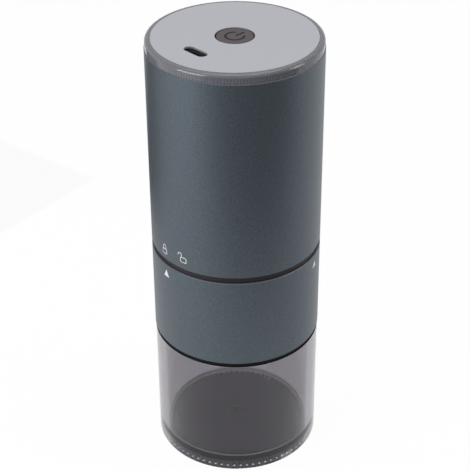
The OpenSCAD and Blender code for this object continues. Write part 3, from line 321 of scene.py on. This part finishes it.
# ---- Bearing bridge and funnel ----
# The bridge is a zinc die casting with three arms and a pressed-in bush of sintered bronze. The
# funnel under it is a smooth black moulding that clamps the ring burr down.
cast_grey = (0.33, 0.335, 0.345)
die_casting, tree, shader = plain_finish("die_casting", cast_grey, rough=0.5, metal=1.0)
skin = surface_noise(tree, size=0.0008)
mottle(tree, shader, skin, cast_grey, spread=0.1)
gloss_range(tree, shader, skin, low=0.4, high=0.6)
grain(tree, shader, skin, height=0.00003)
wear(["bearing_bridge"], die_casting)
bronze_brown = (0.42, 0.23, 0.09)
bronze, tree, shader = plain_finish("bronze", bronze_brown, rough=0.5, metal=1.0)
pores = surface_noise(tree, size=0.0003)
mottle(tree, shader, pores, bronze_brown, spread=0.2)
grain(tree, shader, pores, height=0.00002)
wear(["bearing_bush"], bronze)
inner_black = (0.020, 0.020, 0.021)
inner_plastic, tree, shader = plain_finish("inner_plastic", inner_black, rough=0.42)
mottle(tree, shader, surface_noise(tree, size=0.005), inner_black, spread=0.15)
grain(tree, shader, surface_noise(tree, size=0.0004), height=0.00002)
wear(["hopper_funnel"], inner_plastic)

# ---- Screws ----
# Small zinc-plated steel screws, bought in: they hold the collar, the shaft's jaw, the gearbox,
# the motor, the base and the board.
zinc_grey = (0.40, 0.405, 0.41)
zinc_plate, tree, shader = plain_finish("zinc_plate", zinc_grey, rough=0.35, metal=1.0)
plating = surface_noise(tree, size=0.0007)
mottle(tree, shader, plating, zinc_grey, spread=0.1)
gloss_range(tree, shader, plating, low=0.28, high=0.45)
wear(["collar_screws", "shaft_screw", "base_screws", "gearbox_screws", "motor_screws",
      "board_screws"], zinc_plate)

# ---- Mill sleeve ----
# A drawn stainless tube with bevelled ends, sprayed dark blue-grey with a fine metal flake and
# a satin lacquer. Three pointers are printed on it in pale grey, one over each lug.
casing_r = 0.035
flake_blue = (0.076, 0.095, 0.113)
sleeve_paint, tree, shader = plain_finish("sleeve_paint", flake_blue, rough=0.42, metal=0.6)
flakes = surface_noise(tree, size=0.0004, detail=1.0)
mottle(tree, shader, flakes, flake_blue, spread=0.22)
grain(tree, shader, flakes, height=0.00003, strength=0.5)
wear(["mill_sleeve"], sleeve_paint)

ink_pale = (0.56, 0.57, 0.58)
print_ink, tree, shader = plain_finish("print_ink", ink_pale, rough=0.55)
mottle(tree, shader, surface_noise(tree, size=0.0006), ink_pale, spread=0.06)
ink_t = 0.00002


def on_sleeve(azimuth, across, up):
    """Point just outside the casing, from an azimuth and the arc length across from it."""
    angle = radians(azimuth) + across / casing_r
    reach = casing_r + ink_t
    return (reach * sin(angle), -reach * cos(angle), up)


def thin_skin(name, corners, faces, made):
    """A flat or bent sheet without thickness, in one finish."""
    skin_mesh = bpy.data.meshes.new(name)
    skin_mesh.from_pydata(corners, [], faces)
    skin_mesh.materials.append(made)
    return placed(name, skin_mesh)


def printed(name, corners, faces, body):
    """One printed mark on the sleeve that moves with a body."""
    mark = thin_skin(name, corners, faces, print_ink)
    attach(mark, body)


pointer_low, pointer_high, pointer_w = 0.0924, 0.0956, 0.0035
rows, columns = 8, 8
pointer_azimuths = (-54, 66, 186)
for index, azimuth in enumerate(pointer_azimuths):
    corners = [on_sleeve(azimuth, pointer_w * (1 - row / rows) * (column / columns - 0.5),
                         pointer_low + (pointer_high - pointer_low) * row / rows)
               for row in range(rows + 1) for column in range(columns + 1)]
    faces = [(row * (columns + 1) + column, row * (columns + 1) + column + 1,
              (row + 1) * (columns + 1) + column + 1, (row + 1) * (columns + 1) + column)
             for row in range(rows) for column in range(columns)]
    printed(f"pointer_{index + 1}", corners, faces, "mill")

# ---- Motor base ----
# The floor of the motor section, moulded in the collar's nylon. It has the entries, channels
# and stops for the collar's lugs, and carries the gearbox and the chassis.
wear(["motor_base"], band_plastic)

# ---- Coupling and gearbox ----
# The two coupling halves and the six planet gears are natural acetal, moulded and slightly
# waxy. The gears run dry on the pins of two steel carriers, in a zinc housing with a lid.
acetal_white = (0.66, 0.64, 0.58)
acetal, tree, shader = plain_finish("acetal", acetal_white, rough=0.4)
mottle(tree, shader, surface_noise(tree, size=0.002), acetal_white, spread=0.05)
shader.inputs["Subsurface Weight"].default_value = 0.1
shader.inputs["Subsurface Scale"].default_value = 0.001
wear(["lower_jaw", "upper_jaw", "output_planet_1", "output_planet_2", "output_planet_3",
      "middle_planet_1", "middle_planet_2", "middle_planet_3"], acetal)
wear(["output_carrier", "output_planet_pins", "middle_carrier", "middle_planet_pins"],
     turned_steel)
wear(["gearbox_housing", "gearbox_lid"], die_casting)

# ---- Motor ----
# A bought-in direct-current motor, screwed to the gearbox roof by its face. Its drawn and
# plated steel can has a nylon end cap with brass terminals, and its shaft a brass pinion.
can_grey = (0.42, 0.43, 0.44)
motor_plate, tree, shader = plain_finish("motor_plate", can_grey, rough=0.35, metal=1.0)
drawn = surface_noise(tree, size=0.002, stretch=(1, 1, 0.15))
mottle(tree, shader, drawn, can_grey, spread=0.08)
gloss_range(tree, shader, drawn, low=0.25, high=0.42)
wear(["motor_can"], motor_plate)
wear(["motor_end_cap"], inner_plastic)
wear(["motor_shaft"], turned_steel)
wear(["motor_pinion", "motor_terminals"], turned_brass)

# ---- Chassis and cells ----
# Two lithium cells in glossy blue shrink sleeve stand in the cradles of a black chassis beside
# the motor, under a clip that the board holds down. Spot-welded nickel strips join them to
# each other, and the cells and the motor to the board.
wear(["chassis", "cell_clip"], inner_plastic)
sleeve_blue = (0.02, 0.09, 0.24)
shrink_sleeve, tree, shader = plain_finish("shrink_sleeve", sleeve_blue, rough=0.25)
mottle(tree, shader, surface_noise(tree, size=0.01), sleeve_blue, spread=0.1)
gloss_range(tree, shader, surface_noise(tree, size=0.003), low=0.18, high=0.34)
wear(["battery_cells"], shrink_sleeve)
nickel_grey = (0.46, 0.45, 0.42)
nickel_strip, tree, shader = plain_finish("nickel_strip", nickel_grey, rough=0.32, metal=1.0)
rolled = surface_noise(tree, size=0.001, stretch=(1, 1, 0.2))
mottle(tree, shader, rolled, nickel_grey, spread=0.08)
gloss_range(tree, shader, rolled, low=0.25, high=0.4)
wear(["cell_link", "cell_tabs", "motor_straps"], nickel_strip)

# ---- Control board ----
# A round glass-fibre board under green solder mask, screwed to the chassis posts. It carries
# the charging socket, the button's switch and eight small light emitters that face the ring.
mask_green = (0.010, 0.065, 0.030)
solder_mask, tree, shader = plain_finish("solder_mask", mask_green, rough=0.3)
mottle(tree, shader, surface_noise(tree, size=0.0015, detail=0.0), mask_green, spread=0.25)
wear(["control_board"], solder_mask)
shell_black = (0.030, 0.024, 0.022)
socket_shell, tree, shader = plain_finish("socket_shell", shell_black, rough=0.45, metal=0.6)
mottle(tree, shader, surface_noise(tree, size=0.001), shell_black, spread=0.1)
wear(["charging_socket"], socket_shell)
wear(["socket_tongue", "tact_switch"], inner_plastic)
lens_white = (0.80, 0.79, 0.70)
led_lens, tree, shader = plain_finish("led_lens", lens_white, rough=0.25)
mottle(tree, shader, surface_noise(tree, size=0.0005), lens_white, spread=0.04)
wear(["status_leds"], led_lens)

# ---- Light ring ----
# A ring of clear plastic with a smoke tint, polished outside with a round top edge. It is fluted
# on its hidden side, so that the emitters under it show as an even glow. The flutes' light and
# shade, as seen through the upright side, is painted into its colour as lighter and darker
# stripes.


def flute_share(tree, count):
    """0 to 1 and back, once for each flute round the axis."""
    place = tree.nodes.new("ShaderNodeTexCoord")
    split = tree.nodes.new("ShaderNodeSeparateXYZ")
    tree.links.new(place.outputs["Object"], split.inputs[0])
    angle = tree.nodes.new("ShaderNodeMath")
    angle.operation = "ARCTAN2"
    tree.links.new(split.outputs["Y"], angle.inputs[0])
    tree.links.new(split.outputs["X"], angle.inputs[1])
    turns = tree.nodes.new("ShaderNodeMath")
    turns.operation = "MULTIPLY"
    turns.inputs[1].default_value = count
    tree.links.new(angle.outputs[0], turns.inputs[0])
    wave = tree.nodes.new("ShaderNodeMath")
    wave.operation = "SINE"
    tree.links.new(turns.outputs[0], wave.inputs[0])
    return share_between(tree, wave.outputs[0], -1.0, 1.0)


ring_smoke = (0.235, 0.238, 0.272)
ring_flutes, ring_edge_r = 180, 0.0013
ring_plastic, tree, shader = plain_finish("ring_plastic", ring_smoke, rough=0.14)
shader.inputs["Transmission Weight"].default_value = 0.55
shader.inputs["IOR"].default_value = 1.49
# Painted light and shade of the flutes: the colour turns lighter and darker by turns round the
# ring, everywhere except on the round top edge.
painted_flute_shade = tones(tree, ring_smoke, ((0.0, 0.85), (1.0, 1.15)), flute_share(tree, ring_flutes))
ring_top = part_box("light_ring")[1].z
on_edge = height_share(tree, ring_top - 1.4 * ring_edge_r, ring_top - ring_edge_r)
ring_face_with_painted_flutes = mixed(tree, on_edge, painted_flute_shade, (*ring_smoke, 1.0))
tree.links.new(ring_face_with_painted_flutes, shader.inputs["Base Color"])
wear(["light_ring"], ring_plastic)

# ---- Top frame and plate ----
# The black inner frame guides the button and stands on the board. The plate bonded on top of
# it is blanked from aluminium, bead-blasted and clear anodised.
wear(["top_frame"], inner_plastic)
plate_silver = (0.38, 0.385, 0.42)
blasted, tree, shader = plain_finish("blasted_aluminium", plate_silver, rough=0.45, metal=0.6)
beads = surface_noise(tree, size=0.00022, detail=2.0)
mottle(tree, shader, beads, plate_silver, spread=0.05)
gloss_range(tree, shader, beads, low=0.4, high=0.55)
grain(tree, shader, beads, height=0.000015)
wear(["top_plate"], blasted)

# ---- Power button ----
# The button is a satin brown-grey moulding with a flange under the frame and a foot on the
# switch's acetal stem. Its power symbol is a shallow groove filled with a darker tone.
button_brown = (0.052, 0.038, 0.043)
button_plastic, tree, shader = plain_finish("button_plastic", button_brown, rough=0.42)
shader.inputs["Specular IOR Level"].default_value = 0.25
mottle(tree, shader, surface_noise(tree, size=0.002), button_brown, spread=0.06)
grain(tree, shader, surface_noise(tree, size=0.0003), height=0.00001)
wear(["power_button"], button_plastic)
wear(["switch_stem"], acetal)
groove_dark = (0.006, 0.004, 0.005)
groove_fill, tree, shader = plain_finish("groove_fill", groove_dark, rough=0.6)
shader.inputs["Specular IOR Level"].default_value = 0.15
mottle(tree, shader, surface_noise(tree, size=0.001), groove_dark, spread=0.1)
button_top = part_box("power_button")[1].z + ink_t
symbol_r, stroke, symbol_turn, half_gap = 0.0036, 0.0010, -47, 38
bar_low, bar_high, steps = 0.0005, 0.0050, 40
corners = []
for step in range(steps + 1):
    angle = radians(90 + half_gap + (360 - 2 * half_gap) * step / steps + symbol_turn)
    for reach in (symbol_r - stroke / 2, symbol_r + stroke / 2):
        corners.append((reach * cos(angle), reach * sin(angle), button_top))
faces = [(2 * step, 2 * step + 1, 2 * step + 3, 2 * step + 2) for step in range(steps)]
bar = Matrix.Rotation(radians(symbol_turn), 3, "Z")
start = len(corners)
corners += [tuple(bar @ Vector((side * stroke / 2, along, button_top)))
            for along in (bar_low, bar_high) for side in (-1, 1)]
faces.append((start, start + 1, start + 3, start + 2))
power_symbol = thin_skin("power_symbol", corners, faces, groove_fill)
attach(power_symbol, "button")

# ---- Motor sleeve ----
# The same painted tube as the mill's, but longer. A closed and an open padlock are printed
# above the band in the pointers' pale ink, and the pointer stands under the closed one when
# the sections are locked.
wear(["motor_sleeve"], sleeve_paint)
lock_line, lock_step = 0.00034, 0.0004


def padlock(name, azimuth, low, strokes):
    """A printed padlock of thin ribbons, each given as points across and up from its foot."""
    corners, faces = [], []
    for points in strokes:
        path = [Vector(p) for p in points]
        dense = []
        for a, b in zip(path, path[1:]):
            cuts = max(1, int((b - a).length / lock_step))
            dense += [a.lerp(b, k / cuts) for k in range(cuts)]
        dense.append(path[-1])
        closed = points[0] == points[-1]
        for k, point in enumerate(dense):
            back = dense[k - 1] if k else (dense[-2] if closed else point)
            ahead = dense[k + 1] if k < len(dense) - 1 else (dense[1] if closed else point)
            run = (ahead - back).normalized()
            aside = Vector((-run.y, run.x)) * lock_line / 2
            for edge in (point - aside, point + aside):
                corners.append(on_sleeve(azimuth, edge.x, low + edge.y))
            if k:
                n = len(corners)
                faces.append((n - 4, n - 3, n - 1, n - 2))
    printed(name, corners, faces, "motor_section")


lock_w, lock_body_h, shackle_r, lock_corner_r = 0.0028, 0.0022, 0.00085, 0.0004
body_loop = []
for cx, cy, first in ((lock_w / 2 - lock_corner_r, lock_corner_r, -90),
                      (lock_w / 2 - lock_corner_r, lock_body_h - lock_corner_r, 0),
                      (-lock_w / 2 + lock_corner_r, lock_body_h - lock_corner_r, 90),
                      (-lock_w / 2 + lock_corner_r, lock_corner_r, 180)):
    for turn in (0, 30, 60, 90):
        body_loop.append((cx + lock_corner_r * cos(radians(first + turn)),
                          cy + lock_corner_r * sin(radians(first + turn))))
body_loop.append(body_loop[0])
shackle_base, shackle_top, open_end, hinge_in = lock_body_h, 0.0033, 0.0028, 0.0005
arch = [(shackle_r * cos(radians(t)), shackle_top + shackle_r * sin(radians(t)))
        for t in range(0, 181, 20)]
closed_shackle = [(shackle_r, shackle_base)] + arch + [(-shackle_r, shackle_base)]
closed_azimuth, closed_low = -55, 0.1034
padlock("lock_closed", closed_azimuth, closed_low, [body_loop, closed_shackle])
hinge_x = -lock_w / 2 + hinge_in
open_arch = [(hinge_x - shackle_r + x, y) for x, y in arch]
open_shackle = [(hinge_x, shackle_base)] + open_arch + [(hinge_x - 2 * shackle_r, open_end)]
open_azimuth, open_low = -37, 0.1039
padlock("lock_open", open_azimuth, open_low, [body_loop, open_shackle])

# ---- Studio ----
# A white table and backdrop, a wide soft light on the left, a weaker one on the right, one on
# top and an even sky. Two black felt cards on the table, out of the camera's sight, darken what
# the paint and the metal mirror. The camera looks down at the front from above.


def backdrop_rays(tree):
    """1 for rays that meet a plain white backdrop: straight, mirrored or through clear plastic."""
    ray = tree.nodes.new("ShaderNodeLightPath")
    return joined(tree, "ADD", [ray.outputs[kind] for kind in (
        "Is Camera Ray", "Is Transmission Ray", "Is Glossy Ray")])


table_paint = (0.9, 0.9, 0.9)
floor_half, floor_glow = 3, 0.96
floor_white = bpy.data.materials.new("floor_white")
floor_white.use_nodes = True
tree = floor_white.node_tree
tree.nodes.clear()
out = tree.nodes.new("ShaderNodeOutputMaterial")
paint = tree.nodes.new("ShaderNodeBsdfDiffuse")
paint.inputs["Color"].default_value = (*table_paint, 1.0)
glow = tree.nodes.new("ShaderNodeEmission")
glow.inputs["Color"].default_value = (1, 1, 1, 1)
glow.inputs["Strength"].default_value = 1.0
share = tree.nodes.new("ShaderNodeMath")
share.operation = "MULTIPLY"
share.inputs[1].default_value = floor_glow
tree.links.new(backdrop_rays(tree), share.inputs[0])
table_look = tree.nodes.new("ShaderNodeMixShader")
tree.links.new(share.outputs[0], table_look.inputs["Fac"])
tree.links.new(paint.outputs[0], table_look.inputs[1])
tree.links.new(glow.outputs[0], table_look.inputs[2])
tree.links.new(table_look.outputs[0], out.inputs["Surface"])
floor_corners = [(x * floor_half, y * floor_half, 0)
                 for x, y in ((-1, -1), (1, -1), (1, 1), (-1, 1))]
studio_floor = thin_skin("studio_floor", floor_corners, [(0, 1, 2, 3)], floor_white)

felt_grey = (0.02, 0.02, 0.02)
card_l, card_lift = 1.5, 0.0005
felt_black = plain_finish("felt_black", felt_grey, rough=0.9)[0]
for side, azimuth, near, half in (("front", 20, 0.19, 1.5), ("left", -128, 0.20, 0.12)):
    card_corners = [(-half, -card_l, 0), (half, -card_l, 0), (half, 0, 0), (-half, 0, 0)]
    card = thin_skin(f"card_{side}", card_corners, [(0, 1, 2, 3)], felt_black)
    card.rotation_euler = (0, 0, radians(azimuth))
    card.location = (near * sin(radians(azimuth)), -near * cos(radians(azimuth)), card_lift)
    card.visible_camera = False
    card.visible_transmission = False

sky_strength = 0.3
world = bpy.data.worlds.new("studio_sky")
bpy.context.scene.world = world
world.use_nodes = True
tree = world.node_tree
tree.nodes.clear()
out = tree.nodes.new("ShaderNodeOutputWorld")
sky = tree.nodes.new("ShaderNodeBackground")
sky.inputs["Color"].default_value = (1, 1, 1, 1)
sky.inputs["Strength"].default_value = sky_strength
white = tree.nodes.new("ShaderNodeBackground")
white.inputs["Color"].default_value = (1, 1, 1, 1)
white.inputs["Strength"].default_value = 1.0
sky_look = tree.nodes.new("ShaderNodeMixShader")
tree.links.new(backdrop_rays(tree), sky_look.inputs["Fac"])
tree.links.new(sky.outputs[0], sky_look.inputs[1])
tree.links.new(white.outputs[0], sky_look.inputs[2])
tree.links.new(sky_look.outputs[0], out.inputs["Surface"])

lamp_aim = Vector((0, 0, 0.1))


def soft_light(name, place, width, height, power):
    """A rectangular soft light that faces the middle of the grinder."""
    lamp = bpy.data.lights.new(name, "AREA")
    lamp.shape = "RECTANGLE"
    lamp.size, lamp.size_y = width, height
    lamp.energy = power
    rig = placed(name, lamp)
    rig.location = place
    rig.rotation_euler = (lamp_aim - Vector(place)).to_track_quat("-Z", "Y").to_euler()


soft_light("left_light", (-0.68, -0.48, 0.34), width=0.55, height=0.6, power=6.8)
soft_light("right_light", (0.8, -0.1, 0.35), width=0.3, height=0.6, power=2.5)
soft_light("top_light", (0.0, 0.1, 1.1), width=0.8, height=0.8, power=5.0)

eye = bpy.data.cameras.new("camera")
eye.sensor_width = 36.0
eye.lens = 104.957
camera = placed("camera", eye)
eye_place = (0, -0.48203, 0.40648)
pitch, yaw, roll = radians(32.537), radians(-0.051), radians(-0.391)
ahead = Vector((sin(yaw) * cos(pitch), cos(yaw) * cos(pitch), -sin(pitch)))
right = Vector((cos(yaw), -sin(yaw), 0))
upward = right.cross(ahead)
right, upward = (right * cos(roll) + upward * sin(roll), upward * cos(roll) - right * sin(roll))
turned = Matrix((right, upward, -ahead)).transposed().to_4x4()
camera.matrix_world = Matrix.Translation(eye_place) @ turned
bpy.context.scene.camera = camera
bpy.context.scene.view_settings.view_transform = "Standard"
